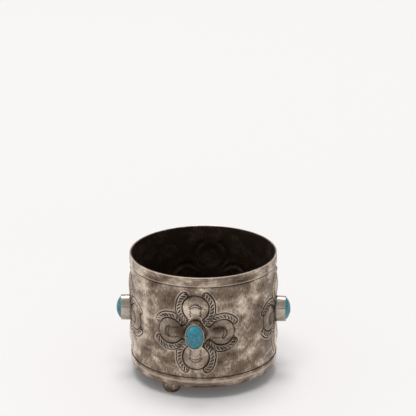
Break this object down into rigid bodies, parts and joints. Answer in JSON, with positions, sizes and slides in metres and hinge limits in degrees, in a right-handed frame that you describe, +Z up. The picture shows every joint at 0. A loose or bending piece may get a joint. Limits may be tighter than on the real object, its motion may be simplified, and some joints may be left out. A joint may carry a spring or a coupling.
{
  "type": "wine bottle coaster",
  "caption": "Tall round silver bottle coaster: a rolled sheet wall with raised flowers and stones in tall bezels, a flat floor and ball feet.",
  "frame": {"origin": "bottom centre, on the surface that the feet stand on, on the axis of the round wall", "axes": "+Z up along the axis of the wall, the front flower faces -Y"},
  "size_m": [0.1197, 0.1202, 0.0883],
  "materials": {
    "silver_sheet": "oxidised silver, rubbed back on the high places, with dark grey-brown patches",
    "silver_floor": "tarnished silver",
    "silver_trim": "oxidised silver strip",
    "silver_foot": "dark oxidised silver",
    "silver_bezel": "silver strip, burnished at the rim and dark at its foot",
    "silver_bearing": "plain silver strip",
    "turquoise_stone": "polished turquoise with fine brown veins"
  },
  "bodies": {
    "root": {"wall": "silver_sheet", "base_plate": "silver_floor", "rim_band": "silver_trim", "base_band": "silver_trim", "foot_front": "silver_foot", "foot_right": "silver_foot", "foot_back": "silver_foot", "bezel_front": "silver_bezel", "bezel_right": "silver_bezel", "bezel_back": "silver_bezel", "bezel_left": "silver_bezel", "stone_bearing_front": "silver_bearing", "stone_bearing_right": "silver_bearing", "stone_bearing_back": "silver_bearing", "stone_bearing_left": "silver_bearing", "turquoise_front": "turquoise_stone", "turquoise_right": "turquoise_stone", "turquoise_back": "turquoise_stone", "turquoise_left": "turquoise_stone"}
  },
  "joints": []
}
